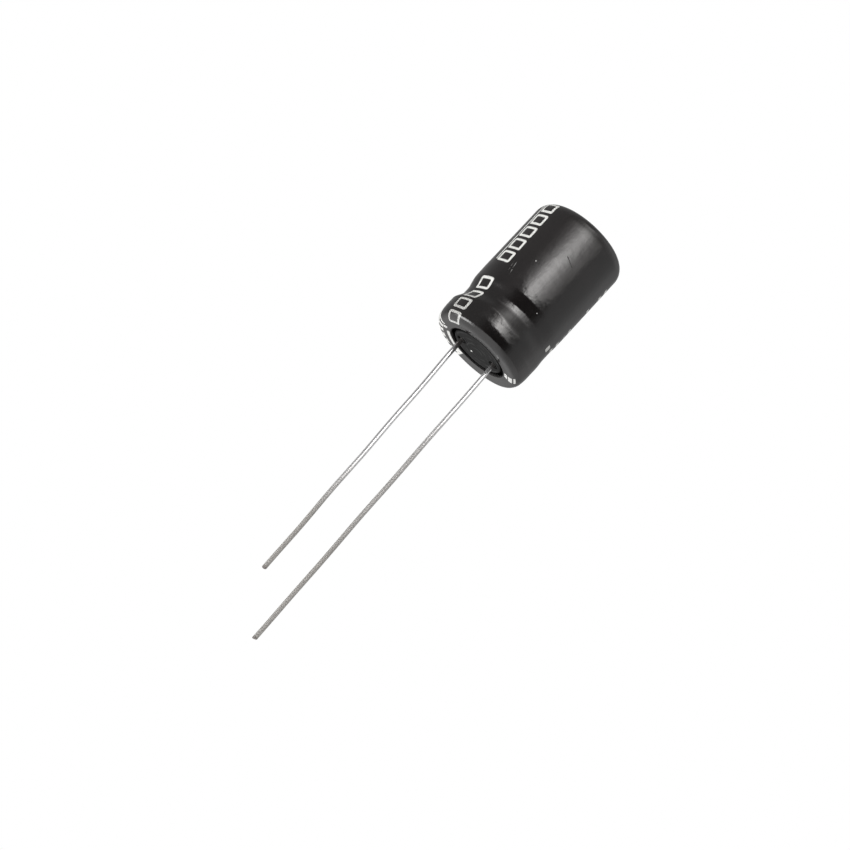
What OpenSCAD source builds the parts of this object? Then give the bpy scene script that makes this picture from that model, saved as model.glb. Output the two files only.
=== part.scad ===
// Radial aluminium electrolytic capacitor in a dark heat-shrunk sleeve, standing on its closed head.
// The origin is the middle of the sleeve's resting rim. +Z runs up to the leads, and +X points
// from the positive lead to the negative one.

/* [Can] */
// Outer diameter of the drawn aluminium can
can_d = 12.5; // [11.5:0.1:16]
// Wall of the can, also at its head
can_wall = 0.3; // [0.2:0.05:0.4]
// Outside radius of the edge round the head
head_edge_r = 1.55; // [1:0.05:1.6]
// Height of the whole body, from the sleeve's rim at the head to its rim at the seal
body_h = 20.5; // [18:0.1:30]

/* [Rolled bead and curl] */
// Distance from the seal rim down to the middle of the bead
bead_from_rim = 5.2; // [4.6:0.1:5.6]
// Depth of the bead in the can
bead_depth = 0.9; // [0.5:0.05:1.2]
// Radius at the root of the bead
bead_root_r = 1.8; // [1:0.1:2.2]
// Reach of the bead towards the head
bead_reach_head = 2.4; // [2:0.1:2.8]
// Reach of the bead towards the seal
bead_reach_seal = 2.65; // [2.3:0.05:2.9]
// How far the wall swells out between the bead and the curl
swell = 0.14; // [0:0.02:0.3]
// Radius of the swell along the can's height
swell_r = 5.75; // [4:0.25:9]
// Outside radius of the curl that closes the can on the bung
curl_r = 0.9; // [0.6:0.05:1]
// How far the curl turns over, from straight out to past its top
curl_deg = 150; // [130:1:155]

/* [Vent] */
// Length of each stroke of the vent score on the head
vent_l = 7; // [4:0.1:8]
// Width of the score
vent_w = 0.35; // [0.2:0.05:0.6]
// Depth of the score
vent_depth = 0.12; // [0.05:0.01:0.18]

/* [Sleeve] */
// Wall of the shrunk sleeve
sleeve_wall = 0.25; // [0.1:0.05:0.35]
// Depth of the sleeve's waist where it sinks into the bead
waist_depth = 0.36; // [0.2:0.01:0.5]
// Radius at the root of the waist, outside
waist_root_r = 1.2; // [0.6:0.1:2]
// Diameter of the sleeve's hole under the head
head_hole_d = 8.2; // [7.8:0.1:8.2]
// Diameter of the sleeve's hole round the bung
seal_hole_d = 8.1; // [7.5:0.1:9]
// Where the sleeve leaves the curl and runs straight in
lip_deg = 99; // [95:1:112]

/* [Rubber bung] */
// Height of the bung
bung_h = 6.7; // [6.2:0.1:7.6]
// Distance from the seal rim down to the bung's face
bung_drop = 0.3; // [0.2:0.05:0.45]
// Diameter of the bung's raised face
bung_face_d = 7.3; // [6.6:0.1:7.4]
// Distance from the seal rim down to the ledge round the raised face
ledge_drop = 1; // [0.95:0.05:1.2]
// Diameter at which the ledge meets the curl
ledge_d = 9.4; // [8.8:0.1:9.4]
// Chamfer round the raised face
face_chamfer = 0.15; // [0.05:0.05:0.25]
// Diameter of the raised collar round each lead hole
collar_d = 2.2; // [1.7:0.1:3]
// Height of the collar
collar_h = 0.06; // [0.03:0.01:0.12]

/* [Leads] */
// Distance between the two leads
lead_pitch = 5; // [3.6:0.1:5.6]
// Diameter of the tinned lead wire
wire_d = 0.6; // [0.4:0.05:0.8]
// Length of the negative lead past the seal rim
negative_l = 36.8; // [10:0.1:60]
// Length of the positive lead past the seal rim
positive_l = 43.8; // [10:0.1:60]
// Lean of the negative lead, towards the positive side
negative_lean_deg = 2.1; // [0:0.1:6]
// Lean of the positive lead, away from the negative one
positive_lean_deg = 1.6; // [0:0.1:6]
// Length of the weld cone between the aluminium stem and the wire
weld_l = 1; // [0.9:0.05:1.3]
// Diameter of the weld cone at the stem
weld_d = 1.1; // [0.85:0.05:1.2]
// Depth of the stem's end below the bung's face
stem_drop = 0.8; // [0.6:0.05:0.9]

/* [Tabs] */
// Diameter of the round stem that passes through the bung
stem_d = 1.3; // [1:0.05:1.6]
// Width of the flat blade inside the winding
blade_w = 2.4; // [1.8:0.1:3]
// Thickness of the blade
blade_t = 0.25; // [0.15:0.05:0.4]
// Height of the forged change from blade to stem
forge_l = 0.9; // [0.6:0.1:1.4]
// Distance from the winding's foot up to the blade's end
blade_rise = 2; // [1:0.1:4]

/* [Winding] */
// Clearance between the taped winding and the can
winding_gap = 0.25; // [0.1:0.05:0.5]
// Space between the winding and the bung
winding_drop = 1.5; // [1.4:0.1:2.5]
// Diameter of the hole that the winding mandrel leaves
mandrel_d = 1.6; // [1:0.1:2.2]
// Thickness of the tape that holds the last turn
tape_t = 0.1; // [0.05:0.01:0.2]
// Width of the tape
tape_w = 7; // [3:0.5:7.5]
// Number of turns that show at each end of the winding
turns = 7; // [4:1:9]
// Depth of the foil's edge below the paper's
foil_drop = 0.25; // [0.1:0.05:0.4]
// Width of the foil's edge
foil_w = 0.2; // [0.1:0.02:0.26]

/* [Hidden] */
$fn = 96;
arc_steps = 8;
bite = 0.05;
seat_gap = 0.02;

can_r = can_d / 2;
head_z = sleeve_wall;
curl_top_z = body_h - sleeve_wall;
bead_z = body_h - bead_from_rim;
crest_z = bead_z + bead_reach_seal;
crest_r = can_r + swell;
root_r = can_r - bead_depth;
waist_r = can_r - waist_depth;

// Centre of the swell's arc, and of the curl that runs on from it without a corner
swell_c = [crest_r - swell_r, crest_z];
curl_start = asin((curl_top_z - curl_r - crest_z) / (swell_r - curl_r));
curl_c = swell_c + (swell_r - curl_r) * [cos(curl_start), sin(curl_start)];

bore_r = can_r - can_wall;
floor_z = head_z + can_wall;
bung_z = body_h - bung_drop;
ledge_z = body_h - ledge_drop;
face_r = bung_face_d / 2;
bung_foot_z = bung_z - bung_h;
winding_top_z = bung_foot_z - winding_drop;
winding_r = bore_r - winding_gap - tape_t;
// The winding's edge comes down on the curve inside the head's edge, or on the flat head
corner_r = head_edge_r - can_wall;
corner_reach = max(winding_r - (can_r - head_edge_r), 0);
winding_foot_z = floor_z + corner_r - sqrt(corner_r * corner_r - corner_reach * corner_reach) + seat_gap;
stem_top_z = bung_z - stem_drop;
blade_foot_z = winding_foot_z + blade_rise;
turn_pitch = (winding_r - lead_pitch / 2 - blade_t) / turns;

// Points along a circle from one angle to another
function arc(c, r, from, to, steps = arc_steps) =
    [for (i = [0 : steps]) let (a = from + (to - from) * i / max(steps, 1)) c + r * [cos(a), sin(a)]];

// Shoulder radius that makes an S-bend of the given reach and depth meet a root of radius root
function shoulder(reach, depth, root) = (reach * reach + depth * depth) / (2 * depth) - root;

// Waist in a wall: out of the straight wall over a shoulder, round the root and up to the crest.
// The floor is the radius at its root, and skin is added outside the can's own surface.
function waist(floor, root, skin) =
    let (
        low_s = shoulder(bead_reach_head, can_r - floor, root),
        high_s = shoulder(bead_reach_seal, crest_r - floor, root),
        low_c = [can_r - low_s, bead_z - bead_reach_head],
        high_c = [crest_r - high_s, crest_z],
        root_c = [floor + root, bead_z],
        low_a = atan2(bead_z - low_c[1], root_c[0] - low_c[0]),
        high_a = atan2(bead_z - high_c[1], root_c[0] - high_c[0])
    )
    concat(
        arc(low_c, low_s + skin, 0, low_a),
        arc(root_c, root - skin, 180 + low_a, 180 + high_a),
        arc(high_c, high_s + skin, high_a, 0)
    );

// Half section of the can's surface from the head's edge to the curl, with skin added outside it
function wall_line(floor, root, skin, curl_end) = concat(
    arc([can_r - head_edge_r, head_z + head_edge_r], head_edge_r + skin, -90, 0),
    waist(floor, root, skin),
    arc(swell_c, swell_r + skin, 0, curl_start, 3),
    arc(curl_c, curl_r + skin, curl_start, lip_deg),
    arc(curl_c, curl_r + skin, lip_deg, curl_end, curl_end > lip_deg ? arc_steps : 0)
);

function reversed(list) = [for (i = [len(list) - 1 : -1 : 0]) list[i]];

can_outside = wall_line(root_r, bead_root_r, 0, curl_deg);
can_inside = wall_line(root_r, bead_root_r, -can_wall, curl_deg);
sleeve_outside = wall_line(waist_r, waist_root_r + sleeve_wall, sleeve_wall, lip_deg);
sleeve_inside = wall_line(waist_r, waist_root_r + sleeve_wall, 0, lip_deg);

// Half section of the bung's top: the ledge, then the chamfered raised face
bung_top = [
    [ledge_d / 2, ledge_z], [face_r, ledge_z],
    [face_r, bung_z - face_chamfer], [face_r - face_chamfer, bung_z], [0, bung_z]
];

// Height at which the straight lip that leaves the curl reaches a radius, for a skin outside the curl
function lip_z(r, skin) =
    let (start = curl_c + (curl_r + skin) * [cos(lip_deg), sin(lip_deg)])
    start[1] + (start[0] - r) / tan(lip_deg);

// One shrunk tube of film, folded over both ends of the can
module sleeve() {
    hole_r = seal_hole_d / 2;
    color([0.17, 0.155, 0.155])
    rotate_extrude()
    polygon(concat(
        [[head_hole_d / 2, head_z], [head_hole_d / 2, 0]],
        sleeve_outside,
        [[hole_r, lip_z(hole_r, sleeve_wall)], [hole_r, lip_z(hole_r, 0)]],
        reversed(sleeve_inside)
    ));
}

// Drawn cup with the rolled bead and the curled mouth, scored on its head
module can() {
    color([0.80, 0.80, 0.79])
    difference() {
        rotate_extrude()
        polygon(concat([[0, floor_z], [0, head_z]], can_outside, reversed(can_inside)));
        for (turn = [45, 135])
            rotate([0, 0, turn])
            vent_stroke();
    }
}

module vent_stroke() {
    translate([-vent_l / 2, -vent_w / 2, head_z - 1])
    cube([vent_l, vent_w, 1 + vent_depth]);
    for (side = [-1, 1])
        translate([side * vent_l / 2, 0, head_z - 1])
        cylinder(d = vent_w, h = 1 + vent_depth, $fn = 24);
}

// Moulded stopper, squeezed in by the bead and held down by the curl
module rubber_bung() {
    color([0.20, 0.20, 0.205])
    difference() {
        union() {
            rotate_extrude()
            intersection() {
                polygon(concat([[0, 0], [bore_r, 0]], can_inside, bung_top));
                translate([0, bung_foot_z])
                square([can_d, bung_h + curl_r]);
            }
            at_leads()
            translate([0, 0, bung_z - 1])
            cylinder(d = collar_d, h = 1 + collar_h, $fn = 48);
        }
        at_leads()
        translate([0, 0, bung_foot_z - 1])
        cylinder(d = stem_d, h = bung_h + 2, $fn = 48);
    }
}

module at_leads() {
    for (side = [-1, 1])
        translate([side * lead_pitch / 2, 0, 0])
        children();
}

// Foil and paper rolled up as one solid, with the foil's edges lying below the paper's
module winding() {
    color([0.78, 0.72, 0.60])
    difference() {
        translate([0, 0, winding_foot_z])
        cylinder(r = winding_r, h = winding_top_z - winding_foot_z);
        translate([0, 0, winding_foot_z - 1])
        cylinder(d = mandrel_d, h = winding_top_z - winding_foot_z + 2, $fn = 32);
        for (i = [0 : turns - 1])
            turn_edge(winding_r - (i + 0.5) * turn_pitch);
        at_leads()
        blade(winding_top_z + 1);
    }
}

// Sunken foil edge of one turn, at both ends of the winding
module turn_edge(r) {
    for (z = [winding_foot_z - 1, winding_top_z - foil_drop])
        translate([0, 0, z])
        difference() {
            cylinder(r = r + foil_w / 2, h = 1 + foil_drop);
            translate([0, 0, -1])
            cylinder(r = r - foil_w / 2, h = 3 + foil_drop);
        }
}

module fixing_tape() {
    middle_z = (winding_foot_z + winding_top_z) / 2;
    color([0.86, 0.84, 0.74])
    translate([0, 0, middle_z - tape_w / 2])
    difference() {
        cylinder(r = winding_r + tape_t, h = tape_w);
        translate([0, 0, -1])
        cylinder(r = winding_r, h = tape_w + 2);
    }
}

module blade(top_z) {
    translate([-blade_t / 2, -blade_w / 2, blade_foot_z])
    cube([blade_t, blade_w, top_z - blade_foot_z]);
}

// Aluminium tab: a flat blade in the winding, forged into the round stem that the bung grips
module tab() {
    forge_z = winding_top_z + 0.3;
    color([0.83, 0.83, 0.82]) {
        blade(forge_z + bite);
        forging(forge_z);
        translate([0, 0, forge_z + forge_l])
        cylinder(d = stem_d, h = stem_top_z - forge_z - forge_l, $fn = 48);
    }
}

// Wedge in one direction and narrowing cone in the other, from the blade up to the stem
module forging(z) {
    intersection() {
        translate([0, 0, z])
        cylinder(d1 = blade_w, d2 = stem_d, h = forge_l + bite, $fn = 48);
        translate([0, blade_w, 0])
        rotate([90, 0, 0])
        linear_extrude(2 * blade_w)
        polygon([
            [-blade_t / 2, z], [blade_t / 2, z],
            [stem_d / 2, z + forge_l], [stem_d / 2, z + forge_l + bite],
            [-stem_d / 2, z + forge_l + bite], [-stem_d / 2, z + forge_l]
        ]);
    }
}

module negative_tab() {
    translate([lead_pitch / 2, 0, 0])
    tab();
}

module positive_tab() {
    translate([-lead_pitch / 2, 0, 0])
    tab();
}

// Tinned wire with the weld cone at its foot. It leans to -X from the end of the stem.
module wire(length, lean) {
    color([0.75, 0.75, 0.76])
    difference() {
        translate([0, 0, stem_top_z])
        rotate([0, -lean, 0]) {
            translate([0, 0, -bite])
            cylinder(d1 = weld_d, d2 = wire_d, h = weld_l + bite, $fn = 48);
            translate([0, 0, weld_l])
            cylinder(d = wire_d, h = body_h - stem_top_z - weld_l + length, $fn = 32);
        }
        translate([-stem_d, -stem_d, stem_top_z - 1])
        cube([2 * stem_d, 2 * stem_d, 1]);
    }
}

module negative_wire() {
    translate([lead_pitch / 2, 0, 0])
    wire(negative_l, negative_lean_deg);
}

module positive_wire() {
    translate([-lead_pitch / 2, 0, 0])
    wire(positive_l, positive_lean_deg);
}

sleeve();
can();
rubber_bung();
winding();
fixing_tape();
negative_tab();
positive_tab();
negative_wire();
positive_wire();
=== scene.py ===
"""Radial electrolytic capacitor: sleeve, bung, leads, every finish, the studio and the camera.

The file is laid out as an add-on and run as a script. Shapes are worked out in millimetres and
built in metres.
"""

import math
from types import SimpleNamespace

import bmesh
import bpy
import numpy as np
from bpy.props import FloatProperty, FloatVectorProperty, IntProperty, PointerProperty
from mathutils import Matrix, Vector, geometry, noise


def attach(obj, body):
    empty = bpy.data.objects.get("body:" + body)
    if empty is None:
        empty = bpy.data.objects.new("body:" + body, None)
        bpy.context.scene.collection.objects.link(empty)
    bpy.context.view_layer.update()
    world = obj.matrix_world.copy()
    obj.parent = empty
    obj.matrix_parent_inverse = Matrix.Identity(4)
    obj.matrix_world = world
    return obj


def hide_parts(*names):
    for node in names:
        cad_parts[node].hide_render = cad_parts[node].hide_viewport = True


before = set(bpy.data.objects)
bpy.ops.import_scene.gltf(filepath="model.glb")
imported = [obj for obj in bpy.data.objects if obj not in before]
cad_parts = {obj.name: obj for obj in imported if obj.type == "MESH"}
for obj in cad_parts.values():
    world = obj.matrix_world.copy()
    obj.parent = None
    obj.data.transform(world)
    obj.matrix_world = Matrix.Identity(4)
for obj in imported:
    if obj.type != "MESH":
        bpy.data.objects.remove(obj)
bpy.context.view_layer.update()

bl_info = {
    "name": "Radial electrolytic capacitor",
    "version": (1, 0, 0),
    "blender": (4, 5, 0),
    "location": "3D View > Sidebar > Capacitor",
    "description": "Builds the sleeve, bung, leads, finishes and studio of a radial capacitor",
    "category": "Object",
}

MM = 0.001
# Radius of the film, on which its print is laid out
FILM_RADIUS = 6.5
# Length along the film that stands for its inside, where nothing is printed
INSIDE_RUN = 99.0
# Place of the moulded nib on the bung
NIB = (0.89, 1.12)
# Half width of the soft edge of the print
SOFT = 0.03
# Direction of the camera round the object, in degrees
LENS = -102.5


def number(name, description, default, **more):
    return FloatProperty(name=name, description=description, default=default, **more)


def length(name, description, default):
    """A size in metres, given in millimetres."""
    return number(name, description, default * MM, unit="LENGTH", subtype="DISTANCE", precision=5)


def angle(name, description, default):
    """An angle in radians, given in degrees."""
    return number(name, description, math.radians(default), unit="ROTATION", subtype="ANGLE")


def factor(name, description, default):
    return number(name, description, default, subtype="FACTOR", min=0, max=1)


def colour(name, description, default):
    return FloatVectorProperty(
        name=name, description=description, default=default, subtype="COLOR", size=3, min=0, max=1)


class CanSizes(bpy.types.PropertyGroup):
    """Sizes of the can, which the sleeve and the bung follow"""

    can_radius: length("Can radius", "Outside radius of the can", 6.25)
    can_wall: length("Can wall", "Thickness of the can's wall", 0.3)
    head_edge: length("Head edge", "Outside radius of the edge round the can's head", 1.55)
    height: length("Height", "From the resting rim to the rim at the seal", 20.5)
    bead_height: length("Bead height", "Height of the middle of the bead", 15.3)
    bead_depth: length("Bead depth", "Depth of the bead in the can", 0.9)
    bead_root: length("Bead root", "Radius at the root of the bead", 1.8)
    reach_head: length("Reach to the head", "Reach of the bead towards the head", 2.4)
    reach_seal: length("Reach to the seal", "Reach of the bead towards the seal", 2.65)
    swell: length("Swell", "How far the wall swells out above the bead", 0.14)
    swell_radius: length("Swell radius", "Radius of the swell along the height", 5.75)
    curl_radius: length("Curl radius", "Outside radius of the curl", 0.9)
    curl_turn: angle("Curl turn", "How far the curl turns over", 150)


class SleeveSizes(bpy.types.PropertyGroup):
    """Sizes of the shrunk sleeve"""

    wall: length("Film", "Thickness of the film", 0.25)
    waist_depth: length("Waist depth", "How far the film sinks into the bead", 0.36)
    waist_start: length("Waist start", "Height at which the film leaves the straight wall", 12.85)
    waist_in: length("Waist in", "Height over which the film sinks in", 1.75)
    waist_end: length("Waist end", "Height at which the film starts to rise again", 15.25)
    waist_out: length("Waist out", "Height over which the film rises to the swell", 1.85)
    crest: length("Crest", "Height at which the swell turns towards the rim", 18.4)
    taper: length("Taper", "How far the wall draws in before the waist", 0.035)
    taper_start: length("Taper start", "Height at which the wall starts to draw in", 11)
    bridge_angle: angle("Bridge direction", "Side on which the film spans the bead", -180)
    bridge_width: angle("Bridge width", "Half width of the span over the bead", 38)
    head_hole: length("Head hole", "Radius of the hole under the head", 4.1)
    seal_hole: length("Seal hole", "Radius of the hole round the bung", 4.18)
    lip_turn: angle("Lip turn", "Where the film leaves the curl and runs straight in", 99)
    segments: IntProperty(
        name="Segments", description="Faces round the sleeve", default=256, min=32, max=512)


class BungSizes(bpy.types.PropertyGroup):
    """Sizes of the rubber bung"""

    foot: length("Foot height", "Height of the bung's foot", 13.5)
    face: length("Face height", "Height of the raised face", 20.2)
    face_radius: length("Face radius", "Radius of the raised face", 3.65)
    ledge: length("Ledge height", "Height of the ledge round the face", 19.5)
    ledge_radius: length("Ledge radius", "Radius at which the ledge meets the curl", 4.7)
    hole_radius: length("Hole radius", "Radius of the two lead holes", 0.65)
    collar_radius: length("Collar radius", "Radius of the collar round each hole", 1.1)
    collar_height: length("Collar height", "Height of the collar", 0.06)


class LeadSizes(bpy.types.PropertyGroup):
    """Sizes of the two leads"""

    pitch: length("Pitch", "Distance between the leads at the stems", 5)
    wire_radius: length("Wire radius", "Radius of the tinned wire", 0.3)
    stem_top: length("Stem top", "Height at which the weld cone starts", 19.4)
    weld_length: length("Weld length", "Length of the weld cone", 1)
    weld_radius: length("Weld radius", "Radius of the weld cone at its foot", 0.55)
    negative_length: length("Negative length", "Length of the negative lead past the rim", 36.8)
    positive_length: length("Positive length", "Length of the positive lead past the rim", 43.8)
    negative_lean: angle("Negative lean", "Lean of the negative lead", 2.1)
    positive_lean: angle("Positive lean", "Lean of the positive lead", 1.6)


class Finishes(bpy.types.PropertyGroup):
    """Colours and roughness of the surfaces"""

    film: colour("Film", "Colour of the shrunk film", (0.0078, 0.0067, 0.0066))
    film_roughness: factor("Film roughness", "Roughness of the film", 0.15)
    print_light: colour("Print", "Colour of the light print", (0.60, 0.60, 0.58))
    rubber: colour("Rubber", "Colour of the bung", (0.016, 0.016, 0.016))
    tin: colour("Tin", "Colour of the tinned wire", (0.70, 0.70, 0.71))
    aluminium: colour("Aluminium", "Colour of the can and the tabs", (0.80, 0.80, 0.79))
    paper: colour("Paper", "Colour of the soaked paper", (0.60, 0.52, 0.38))
    tape: colour("Tape", "Colour of the fixing tape", (0.72, 0.68, 0.52))


class Studio(bpy.types.PropertyGroup):
    """Camera and light"""

    roll: angle("Roll", "Turn of the object's axis in the picture", 47.17)
    tilt: angle("Tilt", "Angle between the object's cross section and the line of sight", 14.4)
    turn: angle("Turn", "Turn of the leads' line towards the camera", 12.26)
    distance: length("Distance", "From the camera to the middle of the body", 274)
    centre_x: number("Middle across", "Body's middle across the picture, in pixels", 530.55)
    centre_y: number("Middle down", "Body's middle down the picture, in pixels", 294.9)
    scale: number("Scale", "Pixels for a millimetre at the body's middle", 8.181)
    picture: IntProperty(name="Picture", description="Side of the picture in pixels", default=850)
    box_level: number("Soft box", "Brightness of the soft box", 10.3, min=0)
    dark_level: number("Dark", "Brightness round the lens", 0.02, min=0)
    left_level: number("Left", "Brightness of the room on the left", 0.34, min=0)
    right_level: number("Right", "Brightness of the room on the right", 0.67, min=0)
    back_level: number("Back", "Brightness of the room behind the object", 0.32, min=0)
    top_level: number("Overhead", "Brightness of the ceiling", 1.65, min=0)


GROUPS = {
    "capacitor_can": CanSizes,
    "capacitor_sleeve": SleeveSizes,
    "capacitor_bung": BungSizes,
    "capacitor_leads": LeadSizes,
    "capacitor_finishes": Finishes,
    "capacitor_studio": Studio,
}


def values(name):
    """One property group of the scene, in millimetres and degrees, with colours as tuples."""
    group, out = getattr(bpy.context.scene, name), {}
    for prop in group.bl_rna.properties:
        if prop.identifier in ("rna_type", "name"):
            continue
        value = getattr(group, prop.identifier)
        if prop.unit == "LENGTH":
            value = value / MM
        elif prop.unit == "ROTATION":
            value = math.degrees(value)
        elif prop.subtype == "COLOR":
            value = (*value, 1.0)
        out[prop.identifier] = value
    return SimpleNamespace(**out)


# Sections of the can and the film


def arc(centre, radius, start, end, steps):
    """Points along a circle from one angle to another, in degrees."""
    a = np.radians(np.linspace(start, end, steps + 1))
    return np.column_stack([centre[0] + radius * np.cos(a), centre[1] + radius * np.sin(a)])


def shoulder(reach, depth, root):
    """Shoulder radius that makes an S-bend of this reach and depth meet a root of this radius."""
    return (reach * reach + depth * depth) / (2 * depth) - root


def curl_centre(c, swell, crest_z):
    """Centre of the swell, centre of the curl, and the angle at which the swell runs into it."""
    swell_c = np.array([c.can_radius + swell - c.swell_radius, crest_z])
    curl_z = c.height - values("capacitor_sleeve").wall - c.curl_radius
    reach = c.swell_radius - c.curl_radius
    start = math.asin((curl_z - crest_z) / reach)
    curl_c = swell_c + reach * np.array([math.cos(start), math.sin(start)])
    return swell_c, curl_c, math.degrees(start)


def inner_line(c):
    """The can's inside, from the wall over the bead and the swell to the end of the curl."""
    floor = c.can_radius - c.bead_depth
    crest_r, crest_z = c.can_radius + c.swell, c.bead_height + c.reach_seal
    low_s = shoulder(c.reach_head, c.bead_depth, c.bead_root)
    high_s = shoulder(c.reach_seal, crest_r - floor, c.bead_root)
    low_c = (c.can_radius - low_s, c.bead_height - c.reach_head)
    high_c = (crest_r - high_s, crest_z)
    root_c = (floor + c.bead_root, c.bead_height)
    low_a = math.degrees(math.atan2(c.bead_height - low_c[1], root_c[0] - low_c[0]))
    high_a = math.degrees(math.atan2(c.bead_height - high_c[1], root_c[0] - high_c[0]))
    swell_c, curl_c, start = curl_centre(c, c.swell, crest_z)
    return np.vstack([
        arc(low_c, low_s - c.can_wall, 0, low_a, 7),
        arc(root_c, c.bead_root + c.can_wall, 180 + low_a, 180 + high_a, 5)[1:],
        arc(high_c, high_s - c.can_wall, high_a, 0, 7)[1:],
        arc(swell_c, c.swell_radius - c.can_wall, 0, start, 3)[1:],
        arc(curl_c, c.curl_radius - c.can_wall, start, c.curl_turn, 10)[1:],
    ])


def smooth(x):
    """0 below 0 and 1 above 1, smooth between them."""
    x = np.clip(x, 0, 1)
    return x * x * (3 - 2 * x)


def hump(x, width, power=2):
    """1 at 0, falling off over a width. A higher power has a flatter top."""
    return np.exp(-((x / width) ** power))


def film_wall(c, s, depth, swell, skin, fine):
    """The film's line over the can. It tapers a little before the waist, which is nearly flat."""
    centre = (c.can_radius - c.head_edge, s.wall + c.head_edge)
    edge = arc(centre, c.head_edge + skin, -90, 0, 7 * fine)
    z = np.concatenate([
        np.linspace(edge[-1, 1], s.waist_start, 12 * fine, endpoint=False)[1:],
        np.linspace(s.waist_start, s.crest, 30 * fine),
    ])
    taper = s.taper * min(depth / s.waist_depth, 1)
    drawn_in = np.clip((z - s.taper_start) / (s.waist_start - s.taper_start), 0, 1) ** 2
    r = c.can_radius + skin - taper * drawn_in
    r -= depth * smooth((z - s.waist_start) / s.waist_in)
    r += (depth + taper + swell) * smooth((z - s.waist_end) / s.waist_out)
    swell_c, curl_c, start = curl_centre(c, swell, s.crest)
    return np.vstack([
        edge,
        np.column_stack([r, z]),
        arc(swell_c, c.swell_radius + skin, 0, start, 4 * fine)[1:],
        arc(curl_c, c.curl_radius + skin, start, s.lip_turn, 10 * fine)[1:],
    ])


def sleeve_line(c, s, depth, swell):
    """Closed section of the film: outside from the head's hole to the seal's hole, then back along
    the inside. Gives the points and the number of them that lie outside."""
    _, curl_c, _ = curl_centre(c, swell, s.crest)
    lip = math.radians(s.lip_turn)

    def lip_at(radius, skin):
        x = curl_c[0] + (c.curl_radius + skin) * math.cos(lip)
        z = curl_c[1] + (c.curl_radius + skin) * math.sin(lip)
        return np.array([radius, z + (x - radius) / math.tan(lip)])

    # How far the cut edges are rounded, and how far they bulge
    soft, bulge = 0.05, 0.012
    corner = soft * 0.3
    outside = film_wall(c, s, depth, swell, s.wall, fine=2)
    inside = film_wall(c, s, depth, swell, 0, fine=1)[::-1]
    straight = [lip_at(r, s.wall) for r in np.linspace(outside[-1, 0], s.seal_hole + soft, 7)[1:]]
    top, low = lip_at(s.seal_hole, s.wall), lip_at(s.seal_hole, 0)
    edge = [
        top - (bulge / 3, corner), top - (bulge, soft),
        low + (-bulge, soft), low + (-bulge / 3, corner), low + (soft, 0),
    ]
    foot = [
        (s.head_hole + soft, s.wall), (s.head_hole, s.wall - soft), (s.head_hole, soft),
        (s.head_hole + corner, corner), (s.head_hole + soft, 0),
    ]
    points = np.vstack([foot, outside, straight, edge, inside])
    return points, len(foot) + len(outside) + len(straight)


# Meshes


def add_object(name, data):
    made = bpy.data.objects.new(name, data)
    bpy.context.scene.collection.objects.link(made)
    return made


def piece_from(name, points, faces, sharp=35, join=0):
    """A new object from points in millimetres, smooth up to an angle, with its faces outwards.
    Points closer than join become one."""
    mesh = bpy.data.meshes.new(name)
    mesh.from_pydata((np.asarray(points) * MM).tolist(), [], faces)
    shape = bmesh.new()
    shape.from_mesh(mesh)
    if join:
        bmesh.ops.remove_doubles(shape, verts=shape.verts, dist=join * MM)
    bmesh.ops.recalc_face_normals(shape, faces=shape.faces)
    shape.to_mesh(mesh)
    shape.free()
    mesh.shade_smooth()
    mesh.set_sharp_from_angle(angle=math.radians(sharp))
    return add_object(name, mesh)


def ring_faces(rows, columns, closed=False):
    """Quads between rows of points round an axis. Closed joins the last row to the first."""
    faces = []
    for i in range(rows if closed else rows - 1):
        a, b = i * columns, (i + 1) % rows * columns
        for j in range(columns):
            k = (j + 1) % columns
            faces.append((a + j, a + k, b + k, b + j))
    return faces


def wave(a, seed, low, high):
    """A smooth random line round the axis, of waves from low to high turns, about 1 in size."""
    draw, size = np.random.default_rng(seed), 1.4
    out = np.zeros_like(a)
    for k in range(low, high + 1):
        out += draw.normal() * np.cos(k * a + draw.uniform(0, 2 * math.pi)) / math.sqrt(k)
    return out / math.sqrt(high - low + 1) * size


def finish_piece(piece, material, slot, *nodes):
    piece.data.materials.append(material)
    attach(piece, "root")
    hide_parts(*nodes)


def turned(a, centre):
    """Angles from a centre in degrees, between -180 and 180."""
    return (np.degrees(a) - centre + 180) % 360 - 180


def lie_of_film(c, a, radius, z, outer):
    """The film as it lies: wavy at its cut edges, askew over the seal and uneven on the can."""
    middle, lips_end = c.height / 2, 5.5
    on_can = radius > lips_end
    for size, seed, edge, fade, end in (
        (0.07, 11, 5.2, 1.1, z > middle),
        (0.05, 12, 4.6, 0.5, z < middle),
    ):
        at_edge = np.clip((edge - radius) / fade, 0, 1) * end
        radius = radius - size * wave(a, seed, low=2, high=9) * at_edge
    # The waist sits higher on the negative side
    lift, side, width, level, reach = 0.6, -14, 42, 15, 2.2
    z += lift * hump(turned(a, side), width) * hump(z - level, reach, 4) * on_can
    # The swell sits askew at the front
    slant, side, width, level, reach = 0.034, -102.5, 25, 17.6, 1.1
    askew = turned(a, side)
    z -= slant * askew * hump(askew, width) * hump(z - level, reach) * on_can
    # A faint crease on the right
    ridge, side, slant, level, reach = 0.03, -172, 0.0106, 18.17, 0.22
    crease = level + slant * turned(a, side)
    side, width = -158, 25
    window = smooth(1.2 - abs(turned(a, side)) / width)
    radius = radius + ridge * window * hump(z - crease, reach) * on_can
    # It stands off a little, most on the right and less over the seal
    off, side, level, reach = 0.04, 168, 16, 2
    stand = off * (1 + np.cos(a - math.radians(side))) * (1 - 0.5 * smooth((z - level) / reach))
    radius[:outer] += stand[:outer]
    # Slight ripples, which fade out at both ends
    size, around, along = 0.012, 2.1, 0.22
    ripple = [[
        noise.noise(Vector((math.cos(x) * around, math.sin(x) * around, v * along)))
        for x, v in zip(a, row)] for row in z]
    return radius + size * np.array(ripple) * np.clip(1 - abs(z - middle) / middle, 0, 1) ** 0.5, z


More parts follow.
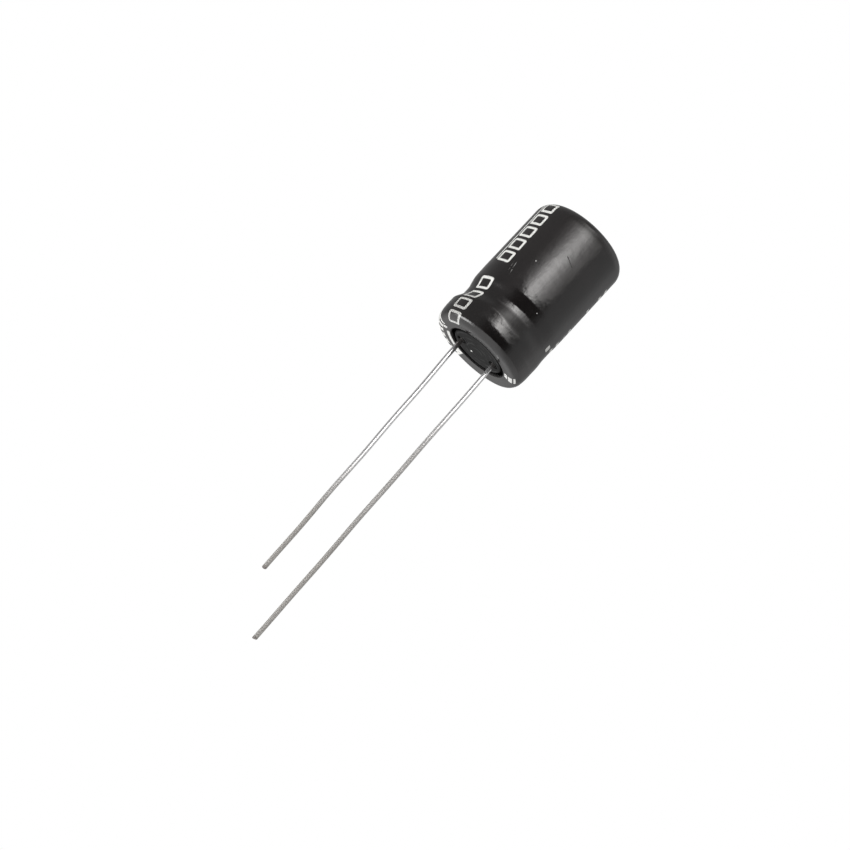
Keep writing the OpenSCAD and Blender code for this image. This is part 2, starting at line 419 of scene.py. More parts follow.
def run_along(c, s, line, outer):
    """Length along the outside of the film, which equals the height on the straight wall."""
    run = np.concatenate([[0], np.cumsum(np.hypot(*np.diff(line[:outer], axis=0).T))])
    wall_start = np.argmax(line[:outer, 1] >= s.wall + c.head_edge - 1e-6)
    run += line[wall_start, 1] - run[wall_start]
    return np.concatenate([run, np.full(len(line) - outer, INSIDE_RUN)])


class CAPACITOR_OT_sleeve(bpy.types.Operator):
    """Build the shrunk sleeve, with its waist, its lip and its print"""

    bl_idname = "capacitor.sleeve"
    bl_label = "Sleeve"

    def execute(self, context):
        c, s = values("capacitor_can"), values("capacitor_sleeve")
        a = np.linspace(0, 2 * math.pi, s.segments, endpoint=False)
        # The film as it sinks into the bead, and as it spans it on one side with little of a waist
        slack, spanned, uneven = 0.04, 0.93, 0.04
        deep, outer = sleeve_line(c, s, s.waist_depth, c.swell + slack)
        span, _ = sleeve_line(c, s, depth=0.05, swell=0.01)
        sunk = 1 - spanned * hump(turned(a, s.bridge_angle), s.bridge_width, 4)
        sunk *= 1 + uneven * wave(a, seed=3, low=2, high=5)
        line = span[:, None, :] + (deep - span)[:, None, :] * sunk[None, :, None]
        radius, z = lie_of_film(c, a, line[..., 0], line[..., 1].copy(), outer)
        points = np.stack([radius * np.cos(a), radius * np.sin(a), z], -1).reshape(-1, 3)
        faces = ring_faces(len(deep), s.segments, closed=True)
        piece = piece_from("shrunk_sleeve", points, faces, sharp=50)
        run = run_along(c, s, deep, outer)
        field = piece.data.attributes.new("run", "FLOAT", "POINT")
        field.data.foreach_set("value", np.repeat(run, s.segments).astype(np.float32))
        finish_piece(piece, film_material(run[outer - 1]), "sleeve_film", "sleeve")
        return {"FINISHED"}


class CAPACITOR_OT_bung(bpy.types.Operator):
    """Build the moulded rubber bung, with its raised face, collars and lead holes"""

    bl_idname = "capacitor.bung"
    bl_label = "Bung"

    def execute(self, context):
        c, b, w = values("capacitor_can"), values("capacitor_bung"), values("capacitor_leads")
        holes = [Vector((side * w.pitch / 2, 0)) for side in (-1, 1)]
        edge, hole_edge, collar_slope, fillet, margin = 0.12, 0.07, 0.14, 0.1, 0.13
        marks, mark_height, mark_width = (0.95, 1.5, 2.05), 0.022, 0.09
        nib_height, nib_width = 0.07, 0.11
        ledge_middle, rounding, columns, hole_columns = 4.2, 0.0013, 144, 48
        points, faces = [], []

        def add(more_points, more_faces):
            start = len(points)
            points.extend(more_points)
            faces.extend(tuple(start + i for i in f) for f in more_faces)

        def ring(centre, radius, count):
            x, y = centre
            turns = np.linspace(0, 2 * math.pi, count, endpoint=False)
            return [Vector((x + radius * math.cos(t), y + radius * math.sin(t))) for t in turns]

        def from_hole(p):
            return min((p - h).length for h in holes)

        def disc(radii, density, clear):
            """Rings of points that stay clear of the holes."""
            rings = [ring((0, 0), r, max(8, int(r * density))) for r in radii]
            return [p for row in rings for p in row if from_hole(p) > clear]

        def drop(past, size):
            """How far a rounded edge of this size has dropped, this far past its start."""
            return size - math.sqrt(max(size * size - max(past, 0) ** 2, 0))

        def height(p):
            r, q = p.length, from_hole(p)
            z = b.face - drop(r - (b.face_radius - edge), edge)
            z -= drop(b.hole_radius + hole_edge - q, hole_edge)
            z += b.collar_height * smooth((b.collar_radius - q) / collar_slope)
            for mark in marks:
                z += mark_height * hump(r - mark, mark_width) * (q > b.collar_radius)
            return z + nib_height * hump((p - Vector(NIB)).length, nib_width)

        def cap(disc_points):
            """Triangles over a disc of points, without those whose middle is in a hole."""
            made, _, tris, *_ = geometry.delaunay_2d_cdt(disc_points, [], [], 0, 1e-6)
            keep = []
            for t in tris:
                middle = sum((made[i] for i in t), Vector((0, 0))) / 3
                if from_hole(middle) > b.hole_radius - rounding:
                    keep.append(t)
            return made, keep

        # Face, with rings close together where its edge, the hole edges and the collars bend
        flat = []
        for inset in (0, 0.003, 0.015, 0.04, 0.075, 0.12):
            flat += ring((0, 0), b.face_radius - inset, columns)
        flat += disc(np.arange(0.1, 3.5, 0.09), 42, b.collar_radius + 0.12)
        steps = (0, 0.004, 0.014, 0.03, 0.05, 0.07, 0.12, 0.2, 0.28, 0.33, 0.38, 0.42, 0.45, 0.5)
        rings = [ring(h, b.hole_radius + step, hole_columns) for h in holes for step in steps]
        flat += [p for row in rings for p in row if p.length < b.face_radius - margin]
        top, top_faces = cap(flat + [Vector((0, 0))])
        add([(p.x, p.y, height(p)) for p in top], top_faces)
        # Side from the face over the ledge, up into the curl and down the can to the foot
        inner = inner_line(c)[::-1]
        side = [(b.face_radius, b.face - edge - d) for d in (0, 0.12, 0.3)]
        side += arc((b.face_radius + fillet, b.ledge + fillet), fillet, 180, 270, 4).tolist()
        side += [(ledge_middle, b.ledge), (b.ledge_radius, b.ledge)]
        side += inner[inner[:, 1] > b.foot + 0.02].tolist()
        wall = side[-1][0]
        side += [(wall, b.foot + 0.3), (wall, b.foot + 0.1), (wall - 0.1, b.foot)]
        turns = np.linspace(0, 2 * math.pi, columns, endpoint=False)
        round_side = [(r * math.cos(t), r * math.sin(t), z) for r, z in side for t in turns]
        add(round_side, ring_faces(len(side), columns))
        # Foot
        flat = ring((0, 0), side[-1][0], columns)
        flat += disc(np.arange(0.5, 5.8, 0.5), 12, b.hole_radius + 0.1)
        flat += [p for h in holes for p in ring(h, b.hole_radius, hole_columns)]
        foot, foot_faces = cap(flat)
        add([(p.x, p.y, b.foot) for p in foot], foot_faces)
        # Hole walls
        start = b.face + b.collar_height - hole_edge
        rows = [start, b.face - 0.4, b.face - 0.9, b.foot + 1, b.foot]
        for h in holes:
            hole = ring(h, b.hole_radius, hole_columns)
            add([(p.x, p.y, z) for z in rows for p in hole], ring_faces(len(rows), hole_columns))
        piece = piece_from("moulded_bung", points, faces, join=0.0006)
        finish_piece(piece, rubber_material(), "bung_rubber", "rubber_bung")
        return {"FINISHED"}


class CAPACITOR_OT_leads(bpy.types.Operator):
    """Build the two tinned leads, with their weld cones and sheared ends"""

    bl_idname = "capacitor.leads"
    bl_label = "Leads"

    def execute(self, context):
        c, w = values("capacitor_can"), values("capacitor_leads")
        tin = tin_material()
        for name, side, past, lean, seed in (
            ("negative", 1, w.negative_length, w.negative_lean, 21),
            ("positive", -1, w.positive_length, w.positive_lean, 22),
        ):
            total = c.height - w.stem_top + past
            self.lead(name, side * w.pitch / 2, total, math.radians(lean), seed, w, tin)
        return {"FINISHED"}

    def lead(self, name, foot_x, total, lean, seed, w, tin):
        draw = np.random.default_rng(seed)
        columns, cone_rows, wire_rows = 40, 12, 150
        bend, flare, grain, lumps, tip_rise = 0.014, 1.35, 0.002, 0.06, 0.012
        t = np.linspace(0, 2 * math.pi, columns, endpoint=False)

        def uneven(station, depth, size, along):
            """Noise round the wire, about 1."""
            places = [(size * math.cos(x), size * math.sin(x), station * along + seed) for x in t]
            return 1 + depth * np.array([noise.noise(Vector(place)) for place in places])

        # Rows of the sheared end: distance from the tip, share of the radius, slant
        end, share, slants = np.transpose([
            (0.25, 1.0, 0.15), (0.16, 1.0, 0.3), (0.09, 0.985, 0.45),
            (0.04, 0.95, 0.55), (0.0, 0.86, 0.6),
        ])
        cone = np.linspace(0, w.weld_length, cone_rows)
        widening = (1 - cone / w.weld_length) ** flare
        cone_r = w.wire_radius + (w.weld_radius - w.wire_radius) * widening
        wire = np.linspace(w.weld_length, total - end[0], wire_rows)[1:-1]
        stations = np.concatenate([cone, wire, total - end])
        radii = np.concatenate([cone_r, np.full(len(wire), w.wire_radius), w.wire_radius * share])
        slants = np.concatenate([np.zeros(len(cone) + len(wire)), slants])
        # The wire isn't quite straight
        shift = np.zeros((len(stations), 2))
        for turns, phase in zip(draw.uniform(1.2, 4, (4, 2)), draw.uniform(0, 2 * math.pi, (4, 2))):
            shift += bend * np.sin(2 * math.pi * turns * stations[:, None] / total + phase)
        shift *= smooth(stations / 4)[:, None]
        rows = []
        for station, radius, (dx, dy), slant in zip(stations, radii, shift, slants):
            on_cone = np.clip((w.weld_length - station) / w.weld_length, 0, 1)
            r = radius * uneven(station, grain, 1, 0.5) * uneven(station, lumps * on_cone, 2, 2)
            z = station - slant * (w.wire_radius + r * np.cos(t + seed)) * 0.5
            z = np.maximum(z, 0 if station == 0 else 0.001)
            rows.append(np.column_stack([r * np.cos(t) + dx, r * np.sin(t) + dy, z]))
        points = np.vstack([*rows, rows[0].mean(0), rows[-1].mean(0) + (0, 0, tip_rise)])
        faces = ring_faces(len(rows), columns)
        foot = len(rows) * columns
        tip, last = foot + 1, foot - columns
        for j in range(columns):
            k = (j + 1) % columns
            faces += [(foot, k, j), (tip, last + j, last + k)]
        turn = np.array(Matrix.Rotation(-lean, 3, "Y"))
        points = points @ turn.T + (foot_x, 0, w.stem_top)
        piece = piece_from(name + "_lead", points, faces)
        finish_piece(piece, tin, "tinned_wire", name + "_wire")


class CAPACITOR_OT_inner_parts(bpy.types.Operator):
    """Give the can, winding, tape and tabs their finishes"""

    bl_idname = "capacitor.inner_parts"
    bl_label = "Can and inner parts"

    def execute(self, context):
        metal = aluminium_material()
        for node, material, slot in (
            ("can", metal, "can_metal"),
            ("winding", paper_material(), "paper_and_foil"),
            ("fixing_tape", tape_material(), "tape_film"),
            ("negative_tab", metal, "tab_metal"),
            ("positive_tab", metal, "tab_metal"),
        ):
            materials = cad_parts[node].data.materials
            materials.clear()
            materials.append(material)
        return {"FINISHED"}


# Finishes


class Number:
    """A node's output that takes part in Python arithmetic."""

    def __init__(self, shader, socket):
        self.shader, self.socket = shader, socket

    def maths(self, operation, *others):
        sockets = dict(enumerate((self, *others)))
        return self.shader.node("ShaderNodeMath", {"operation": operation}, sockets)

    def __add__(self, other):
        return self.maths("ADD", other)

    def __sub__(self, other):
        return self.maths("SUBTRACT", other)

    def __rsub__(self, other):
        return self.shader.node("ShaderNodeMath", {"operation": "SUBTRACT"}, {0: other, 1: self})

    def __mul__(self, other):
        return self.maths("MULTIPLY", other)

    def __truediv__(self, other):
        return self.maths("DIVIDE", other)

    def __abs__(self):
        return self.maths("ABSOLUTE")

    def __lt__(self, other):
        return self.maths("LESS_THAN", other)

    def __gt__(self, other):
        return self.maths("GREATER_THAN", other)

    __radd__, __rmul__ = __add__, __mul__

    def at_least(self, other):
        return self.maths("MAXIMUM", other)

    def at_most(self, other):
        return self.maths("MINIMUM", other)

    def step(self, low, high):
        """0 below low and 1 above high, smooth between them. It falls where low is above high."""
        return self.shader.node("ShaderNodeMapRange", {"interpolation_type": "SMOOTHSTEP"},
                                {"Value": self, "From Min": low, "From Max": high})


class Shader:
    """The nodes of one material, or of the room's light."""

    def __init__(self, owner):
        owner.use_nodes = True
        self.owner, self.tree = owner, owner.node_tree
        self.tree.nodes.clear()

    def node(self, kind, settings=None, inputs=None, output=0):
        """Any node. Settings go in first, then sockets by name or number, as values or links."""
        made = self.tree.nodes.new(kind)
        for key, value in (settings or {}).items():
            setattr(made, key, value)
        for key, value in (inputs or {}).items():
            if isinstance(value, Number):
                self.tree.links.new(value.socket, made.inputs[key])
            else:
                made.inputs[key].default_value = value
        return Number(self, made.outputs[output]) if made.outputs else None

    def point(self, scale=(1000, 1000, 1000)):
        """The place on the object, in millimetres unless a scale is given."""
        place = self.node("ShaderNodeTexCoord", output="Object")
        return self.node("ShaderNodeVectorMath", {"operation": "MULTIPLY"}, {0: place, 1: scale})

    def split(self, vector):
        made = self.node("ShaderNodeSeparateXYZ", inputs={0: vector})
        return [Number(self, out) for out in made.socket.node.outputs]

    def noise(self, vector, scale, detail, roughness=0.5):
        sockets = {"Vector": vector, "Scale": scale, "Detail": detail, "Roughness": roughness}
        return self.node("ShaderNodeTexNoise", {"normalize": True}, sockets)

    def mix(self, share, first, second):
        """A colour between two colours."""
        sockets = {0: share, 6: first, 7: second}
        return self.node("ShaderNodeMix", {"data_type": "RGBA"}, sockets, output=2)

    def bump(self, height, distance_mm):
        sockets = {"Strength": 1.0, "Distance": distance_mm * MM, "Height": height}
        return self.node("ShaderNodeBump", inputs=sockets)

    def surface(self, **sockets):
        """The finished surface. Underscores in names stand for spaces."""
        sockets = {name.replace("_", " "): value for name, value in sockets.items()}
        made = self.node("ShaderNodeBsdfPrincipled", inputs=sockets)
        self.node("ShaderNodeOutputMaterial", inputs={"Surface": made})
        return self.owner


def new_shader(name):
    return Shader(bpy.data.materials.new(name))


def new_finish(name):
    """The finishes as set in the scene, and a new material for one of them."""
    return values("capacitor_finishes"), new_shader(name)


def shade(colour, *by):
    """A colour made darker or lighter, by one factor or by one for each channel."""
    return (*(v * k for v, k in zip(colour[:3], by * 3)), 1.0)


def distance(x, y):
    return (x * x + y * y).maths("SQRT")


def round_film(x, y, centre):
    """Millimetres round the film from a line at the centre angle, in degrees."""
    ca, sa = math.cos(math.radians(centre)), math.sin(math.radians(centre))
    return (y * ca - x * sa).maths("ARCTAN2", x * ca + y * sa) * FILM_RADIUS


def bar(u, v, half_u, half_v, corner):
    """1 inside a bar with round corners, centred on 0, 0."""
    du, dv = abs(u) - (half_u - corner), abs(v) - (half_v - corner)
    out = distance(du.at_least(0), dv.at_least(0))
    return (out + du.at_least(dv).at_most(0) - corner).step(SOFT, -SOFT)


def repeated(v, start, pitch):
    """Distance from the middle of the nearest of a row of marks."""
    return (v - start).maths("FLOORED_MODULO", pitch) - pitch / 2


def between(v, low, high, soft=SOFT):
    return v.step(low - soft, low + soft) * v.step(high + soft, high - soft)


def near(shader, place, spot, radius):
    """1 at a spot, fading out over a radius, in millimetres."""
    sockets = {0: place, 1: spot}
    gap = shader.node("ShaderNodeVectorMath", {"operation": "DISTANCE"}, sockets, output="Value")
    return gap.step(radius, radius * 0.4)


def on_film(direction, z, radius=FILM_RADIUS):
    a = math.radians(direction)
    return radius * math.cos(a), radius * math.sin(a), z


def film_print(m, x, y, z, run, end):
    """Share of ink: the stripe, and bars and blocks in place of lettering. The lip is at end."""
    # Column of hollow bars beside the negative lead, in two stretches, with a thin line along it
    u = round_film(x, y, -46.2) + (z - 7.5) * 0.035
    ink = between(u, 1.38, 1.62) * between(run, 1.2, 10.6)
    for first, pitch, count in ((0.5, 2.1, 5), (12.95, 2.13, 4)):
        v = repeated(run, first, pitch)
        hollow = bar(u, v, 1.16, 0.84, 0.3) * (1 - bar(u, v, 0.8, 0.52, 0.12))
        # The lower bars are printed dimmer
        dimmer_to_seal = 1 - 0.35 * run.step(15, 19)
        ink = ink.at_least(hollow * between(run, first, first + pitch * count) * dimmer_to_seal)
    # Light stripe on the negative side, with dark bars across it
    u = round_film(x, y, 22)
    dash = bar(u, repeated(run, 1.5, 4.2), 1.6, 0.4, 0.3) * between(run, 1.6, end - 4)
    ticks = bar(repeated(u, 0, 1.5), run - (end - 1.5), 0.3, 0.42, 0.1)
    gap = between(run, end - 0.7, INSIDE_RUN) * between(u, -9, -2)
    gap = between(run, end - 1.05, end - 0.5).at_least(gap) * between(u, -9, 2.9)
    stripe = between(u, -4.5, 4.5) * between(run, -0.3, end - 0.12)
    ink = ink.at_least(stripe * (1 - dash) * (1 - ticks) * (1 - gap))
    # Short bars and blocks on the far right
    u = round_film(x, y, 176)
    small = bar(u, repeated(run, 3.2, 1.15), 0.62, 0.24, 0.08) * between(run, 3.2, 16.2)
    ink = ink.at_least(small * m.noise(m.point((100, 100, 450)), 1, 1).step(0.48, 0.54))
    blocks = bar(round_film(x, y, 184.5), repeated(run, end - 2.5, 0.8), 0.8, 0.3, 0.08)
    ink = ink.at_least(blocks * between(run, end - 2.05, end - 0.1))
    ink = ink.at_least(0.7 * bar(round_film(x, y, -169), run - 14.7, 0.38, 0.42, 0.1))
    # One bar at the lip, on the left
    return ink.at_least(bar(round_film(x, y, -7), run - (end - 0.75), 0.45, 0.24, 0.2))


def film_material(end):
    look, m = new_finish("shrunk_film")
    place = m.point()
    x, y, z = m.split(place)
    run = m.node("ShaderNodeAttribute", {"attribute_name": "run"}, output="Fac")
    ink = film_print(m, x, y, z, run, end)
    ink = ink * (0.75 + 0.25 * m.noise(place, 3.5, 3, 0.6).step(0.24, 0.34))
    # Specks, a scratch and a faint rub
    specks = near(m, place, on_film(-82, 8.7), 0.12)
    specks = specks.at_least(near(m, place, on_film(-121.3, 13.46, 6.45), 0.1))
    along, up = round_film(x, y, -109.3), z - 6.04
    scratch = between(along + up * 0.1, -0.55, 0.55, 0.25) * abs(up + along * 0.47).step(0.07, 0.01)
    u = round_film(x, y, -67.5) + (z - 11.2) * 0.22
    rub = between(u, -0.07, 0.03, 0.05) + 0.6 * between(u, 0.34, 0.42, 0.06)
    rub = rub * between(z, 10.3, 11.9, 0.3) * m.noise(place, 4, 2).step(0.42, 0.6)
    tone = m.noise(m.point((120, 120, 60)), 1, 4, 0.6)
    base = m.mix(tone.step(0.3, 0.7), shade(look.film, 0.6), shade(look.film, 1.5))
    base = m.mix(ink, base, look.print_light)
    pale = (0.62, 0.62, 0.6, 1)
    base = m.mix((specks * 0.75 + rub * 0.3 + scratch * 0.05).at_most(1), base, pale)
    # Fine drawn grain along the height, with a little orange peel
    grain = m.noise(m.point((5200, 5200, 520)), 1, 3, 0.65)
    peel = m.noise(m.point((1500, 1500, 1100)), 1, 2, 0.5)
    haze = m.noise(m.point((420, 420, 150)), 1, 4, 0.65)
    # The cut edge round the opening is matt
    edge = 1 - distance(x, y).step(4.2, 4.32)
    rough = look.film_roughness + 0.3 * (haze - 0.5) + 0.12 * (grain - 0.5 + ink) + 0.8 * edge
    normal = m.bump(grain * 0.4 + peel * 0.6 + scratch * -0.8, 0.032)
    return m.surface(Base_Color=base, Roughness=rough, Normal=normal, IOR=1.5)


def rubber_material():
    look, m = new_finish("moulded_rubber")
    place = m.point()
    x, y, _ = m.split(place)
    r = distance(x, y)
    pale = (0.2, 0.2, 0.2, 1)
    cloud = m.noise(place, 1.3, 4, 0.6)
    fine = m.noise(place, 14, 3, 0.6)
    base = m.mix(cloud, shade(look.rubber, 0.75), shade(look.rubber, 1.35))
    # Dust, moulded rings, painted shade on the face's edge and the ledge under the lip, and a
    # painted highlight on the nib
    base = m.mix(m.noise(place, 9, 2, 0.5).step(0.68, 0.74) * 0.3, base, pale)
    rings = abs(repeated(r, 0.2, 0.9)).step(0.12, 0.04) * m.noise(place, 0.8, 2).step(0.4, 0.6)
    base = m.mix(rings * 0.12, base, pale)
    # Painted shade: near-black where the lip shades the edge of the face and the ledge
    base = m.mix(r.step(3.5, 3.7), base, (0.001, 0.001, 0.001, 1))
    # Painted highlight: a pale spot on the moulded nib
    base = m.mix(near(m, place, (*NIB, 20.27), 0.18), base, (0.9, 0.9, 0.88, 1))
    rough = 0.78 + 0.2 * (cloud - 0.5) + 0.1 * (fine - 0.5)
    normal = m.bump(fine + 0.5 * cloud, 0.02)
    return m.surface(Base_Color=base, Roughness=rough, Specular_IOR_Level=0.06, Normal=normal)


def tin_material():
    look, m = new_finish("tinned_wire")
    x, _, z = m.split(m.point())
    negative, positive = x > 0, x < 0
    cloud = m.noise(m.point((500, 500, 90)), 1, 3, 0.6)
    # The wires turn duller and darker towards their ends
    dulled = z.step(35, 52) * negative + (0.65 * z.step(26, 37) + 0.35 * z.step(42, 58)) * positive
    base = m.mix((dulled + cloud * 0.3).at_most(1), look.tin, shade(look.tin, 0.40, 0.385, 0.36))
    # The leads' feet at the rubber are dark: a dark weld and painted shade, which also darkens
    # their mirror image in the film. The cut ends are dark
    # Painted shade on the feet of the leads, down by the bung
    weld_and_foot_shade = (1 - z.step(20.9, 22.2)) * negative + (1 - z.step(20.3, 21.0)) * positive
    cut = z.step(56.8, 57.15) * negative + z.step(63.8, 64.15) * positive
    base = m.mix(((weld_and_foot_shade + cut) * 0.85).at_most(1), base, shade(look.tin, 0.14, 0.12, 0.11))
    rough = 0.2 + 0.37 * dulled + 0.06 * (cloud - 0.5) * (1 - dulled)
    # The drawn wire bows a little, which carries the light along it
    foot, slope = 20, 0.003
    rising, easing = 8 + 10 * negative, 8 + 6 * negative
    rise = (z - foot).at_least(0).at_most(rising)
    ease = (z - foot - rising).at_least(0).at_most(easing)
    bow = rise * rise * (slope / 2) + (ease - ease * ease / (easing * 2)) * rising * slope
    normal = m.bump(bow + cloud * (1 - dulled) * 0.0006, 1.0)
    return m.surface(Base_Color=base, Metallic=0.84 - 0.8 * dulled, Roughness=rough, Normal=normal)


def aluminium_material():
    look, m = new_finish("drawn_aluminium")
    x, y, z = m.split(m.point())
    r = distance(x, y)
    rings = m.noise(m.node("ShaderNodeCombineXYZ", inputs={0: r * 14, 1: z * 9, 2: 0.0}), 1, 3, 0.6)
    cloud = m.noise(m.point((700, 700, 300)), 1, 3, 0.6)
    base = m.mix(cloud.step(0.3, 0.7), shade(look.aluminium, 0.82), look.aluminium)
    # The end of the rolled mouth, under the film's opening, is painted dark and dull: painted shade
    # in the gap between the lip and the bung
    shaded_mouth = r.step(4.2, 4.35) * (1 - r.step(4.8, 5.0)) * z.step(19.2, 19.5)
    # Painted shade: near-black metal in that gap
    base = m.mix(shaded_mouth, base, (0.008, 0.007, 0.007, 1))
    rough = 0.3 + 0.18 * (rings - 0.5) + 0.12 * (cloud - 0.5) + 0.5 * shaded_mouth
    normal = m.bump(rings, 0.006)
    return m.surface(Base_Color=base, Metallic=1.0 - shaded_mouth, Roughness=rough, Normal=normal)


def paper_material():
    look, m = new_finish("paper_and_foil")
    x, y, _ = m.split(m.point())
    foil = abs(repeated(distance(x, y), 0, 0.22)).step(0.05, 0.03)
    fibre = m.noise(m.point((4000, 4000, 500)), 1, 4, 0.7)
    damp = m.noise(m.point((500, 500, 500)), 1, 3, 0.6)
    base = m.mix(fibre * 0.7 + damp * 0.3, shade(look.paper, 0.7), look.paper)
    base = m.mix(foil * 0.6, base, (0.45, 0.45, 0.44, 1))
    rough = 0.75 - 0.25 * foil - 0.2 * (damp - 0.4)
    return m.surface(Base_Color=base, Roughness=rough, Normal=m.bump(fibre + foil * -0.6, 0.02))


def tape_material():
    look, m = new_finish("fixing_tape")
    cloud = m.noise(m.point((400, 400, 250)), 1, 3, 0.5)
    grain = m.noise(m.point((2500, 2500, 400)), 1, 3, 0.6)
    base = m.mix(cloud, shade(look.tape, 0.85), look.tape)
    rough = 0.32 + 0.2 * (grain - 0.4)
    return m.surface(Base_Color=base, Roughness=rough, Normal=m.bump(grain, 0.008))


# Studio


def on_sphere(azimuth, elevation):
    a, e = math.radians(azimuth), math.radians(elevation)
    return math.cos(e) * math.cos(a), math.cos(e) * math.sin(a), math.sin(e)


def picture_axes(s):
    """The object's axes as seen by the camera, whose x runs right, y up and z back."""
    roll, tilt, turn = (math.radians(v) for v in (s.roll, s.tilt, s.turn))
    flat = -math.cos(tilt)
    up = Vector((flat * math.cos(roll), flat * math.sin(roll), math.sin(tilt)))
    across = Vector((math.sin(roll), -math.cos(roll), 0))
    x = -(math.cos(turn) * across + math.sin(turn) * up.cross(across))
    return x, up.cross(x), up


class CAPACITOR_OT_studio(bpy.types.Operator):
    """Set the camera, the pale floor, the soft box and the room's light"""

    bl_idname = "capacitor.studio"
    bl_label = "Studio"

    def execute(self, context):
        s, c = values("capacitor_studio"), values("capacitor_can")
        self.camera(s, c)
        self.floor()
        self.soft_box(s)
        self.room(s)
        context.scene.view_settings.view_transform = "Standard"
        return {"FINISHED"}

    def camera(self, s, c):
        axes = picture_axes(s)
        across, down = ((v - s.picture / 2) / s.scale for v in (s.centre_x, s.centre_y))
        middle = Vector((across, -down, -s.distance))
        shift = middle - axes[2] * c.height / 2
        back = Matrix(axes)
        data = bpy.data.cameras.new("photo_camera")
        data.sensor_width = 36
        data.lens = s.scale * s.distance * data.sensor_width / s.picture
        data.clip_start, data.clip_end = 0.01, 20
        camera = add_object("photo_camera", data)
        camera.matrix_world = Matrix.Translation(back @ -shift * MM) @ back.to_4x4()
        bpy.context.scene.camera = camera

    def floor(self):
        half = 3
        corners = [(-half, -half, 0), (half, -half, 0), (half, half, 0), (-half, half, 0)]
        mesh = bpy.data.meshes.new("floor")
        mesh.from_pydata(corners, [], [(0, 1, 2, 3)])
        floor = add_object("floor", mesh)
        m = new_shader("pale_floor")
        glow = m.node("ShaderNodeEmission", inputs={"Color": (1, 1, 1, 1), "Strength": 1.0})
        m.node("ShaderNodeOutputMaterial", inputs={"Surface": glow})
        mesh.materials.append(m.owner)
        floor.visible_diffuse = floor.visible_glossy = False
        floor.visible_transmission = floor.visible_shadow = False

    def soft_box(self, s):
        """A curved panel below and in front, soft on one side and crisp on the other."""
        reach, middle, rows, columns = 0.42, Vector((0, 0, 0.011)), 110, 140
        right, left, top, bottom = -196.0, -9.0, -12.0, -78.0
        # Its levels and the heights of its upper edge, each by direction in degrees
        across = [-149, -146, -142, -138, -132, -120, -108, -100, -95, -84, -72, -60, -50, -46]
        levels = [0.0, 0.10, 0.27, 0.22, 0.25, 0.38, 0.82, 1.06, 1.04, 0.54, 0.27, 0.14, 0.05, 0.0]
        corners = [-149, -143, -137, -128, -119, -95, -88, -77, -66, -46]
        edges = [-18.6, -18.0, -16.6, -14.6, -13.5, -13.6, -14.8, -17.0, -18.6, -19.2]
        edge_width, steep, steep_cosine = 0.9, 18.5, 0.948
        points, glow, faces = [], [], []
        for e in np.linspace(bottom, top, rows + 1):
            # The panel widens downwards, because a steep wall mirrors it narrower
            widen = math.sqrt(math.cos(math.radians(max(-e, steep))) / steep_cosine)
            # It fades by 45 percent just below its upper edge, and by 58 percent further down
            fade = 0.55 + 0.45 * hump(max(-17 - e, 0), 3)
            low = 1 - 0.58 * np.clip((-21 - e) / 24, 0, 1)
            for a in np.linspace(right, left, columns + 1):
                points.append(middle + reach * Vector(on_sphere(a, e)))
                rise = np.clip((np.interp(a, corners, edges) - e) / edge_width, 0, 1)
                level = np.interp(LENS + (a - LENS) * widen, across, levels)
                glow.append(float(level * rise * fade * low))
        for i in range(rows):
            for j in range(columns):
                k = i * (columns + 1) + j
                face = (k, k + 1, k + columns + 2, k + columns + 1)
                if max(glow[corner] for corner in face) > 0:
                    faces.append(face)
        mesh = bpy.data.meshes.new("soft_box")
        mesh.from_pydata([tuple(p) for p in points], [], faces)
        mesh.attributes.new("glow", "FLOAT", "POINT").data.foreach_set("value", glow)
        panel = add_object("soft_box", mesh)
        m = new_shader("soft_box")
        level = m.node("ShaderNodeAttribute", {"attribute_name": "glow"}, output="Fac")
        warm = (1, 0.985, 0.97, 1)
        lit = m.node("ShaderNodeEmission", inputs={"Color": warm, "Strength": level * s.box_level})
        clear = m.node("ShaderNodeBsdfTransparent")
        dimmer_to_seal = m.node("ShaderNodeMixShader", inputs={0: level.step(0, 0.06), 1: clear, 2: lit})
        m.node("ShaderNodeOutputMaterial", inputs={"Surface": dimmer_to_seal})
        mesh.materials.append(m.owner)
        panel.visible_camera = panel.visible_shadow = False

    def room(self, s):
        """White for the eye, and for the light a room that is dim in front and bright behind."""
        world = bpy.data.worlds.new("room")
        bpy.context.scene.world = world
        m = Shader(world)
        x, y, z = m.split(m.node("ShaderNodeTexCoord", output="Generated"))
        lens = math.radians(LENS)
        facing = x * math.cos(lens) + y * math.sin(lens)
        leftward = y * math.cos(lens) - x * math.sin(lens)
        # Degrees round from the lens, up from the floor, and up and over from the lens
        degrees = 180 / math.pi
        side = leftward.maths("ARCTAN2", facing) * degrees
        height = z.maths("ARCSINE") * degrees
        pitch = z.maths("ARCTAN2", facing) * degrees
        low = s.left_level + (s.right_level - s.left_level) * side.step(10, -40)
        low = low + (s.back_level - low) * abs(side).step(110, 150)
        low = low + (s.dark_level - low) * between(side, -46, 32, 14) * between(height, -16, 40, 3)
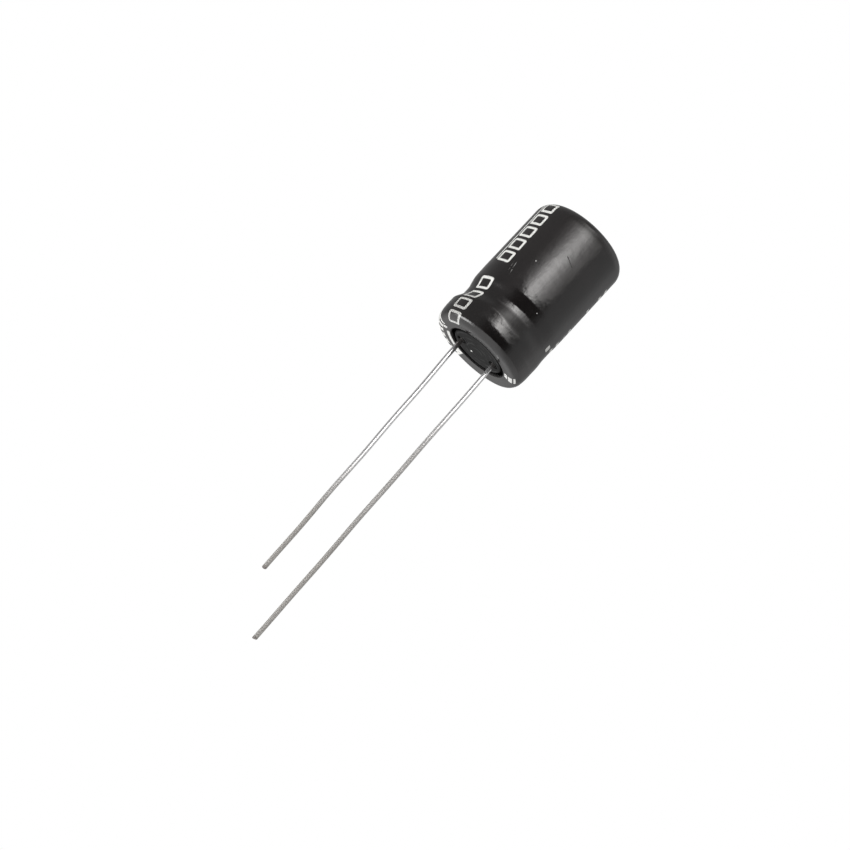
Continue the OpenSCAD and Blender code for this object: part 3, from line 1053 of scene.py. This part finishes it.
        # The ceiling starts above a curved edge, and is dimmer on the right
        edge = 21.5 - 12 * (side / 94) * (side / 94)
        above = height - edge
        over = above.step(0, 3) * height.step(-1, 2) * pitch.step(178, 120)
        over = over * (0.3 + 0.7 * leftward.step(-0.75, -0.2))
        level = low + (s.top_level - low) * over
        # A bright lamp on the left
        lamp = 9
        level = level + between(side, 58, 92, 9) * between(above, 1.5, 20, 2) * lamp
        lit, seen = (
            m.node("ShaderNodeBackground", inputs={"Color": (1, 1, 1, 1), "Strength": strength})
            for strength in (level, 1.0)
        )
        eye = m.node("ShaderNodeLightPath", output="Is Camera Ray")
        both = m.node("ShaderNodeMixShader", inputs={0: eye, 1: lit, 2: seen})
        m.node("ShaderNodeOutputWorld", inputs={"Surface": both})


OPERATORS = (
    CAPACITOR_OT_sleeve, CAPACITOR_OT_bung, CAPACITOR_OT_leads,
    CAPACITOR_OT_inner_parts, CAPACITOR_OT_studio,
)


class CAPACITOR_PT_sidebar(bpy.types.Panel):
    """Sizes, finishes and steps of the capacitor"""

    bl_idname = "CAPACITOR_PT_sidebar"
    bl_label = "Capacitor"
    bl_space_type = "VIEW_3D"
    bl_region_type = "UI"
    bl_category = "Capacitor"

    def draw(self, context):
        for name in GROUPS:
            box = self.layout.box()
            group = getattr(context.scene, name)
            for prop in group.bl_rna.properties:
                if prop.identifier not in ("rna_type", "name"):
                    box.prop(group, prop.identifier)
        for operator in OPERATORS:
            self.layout.operator(operator.bl_idname)


CLASSES = (*GROUPS.values(), *OPERATORS, CAPACITOR_PT_sidebar)


def register():
    for made in CLASSES:
        bpy.utils.register_class(made)
    for name, group in GROUPS.items():
        setattr(bpy.types.Scene, name, PointerProperty(type=group))


def unregister():
    for name in GROUPS:
        delattr(bpy.types.Scene, name)
    for made in reversed(CLASSES):
        bpy.utils.unregister_class(made)


def main():
    register()
    for operator in OPERATORS:
        group, step = operator.bl_idname.split(".")
        getattr(getattr(bpy.ops, group), step)()


if __name__ == "__main__":
    main()
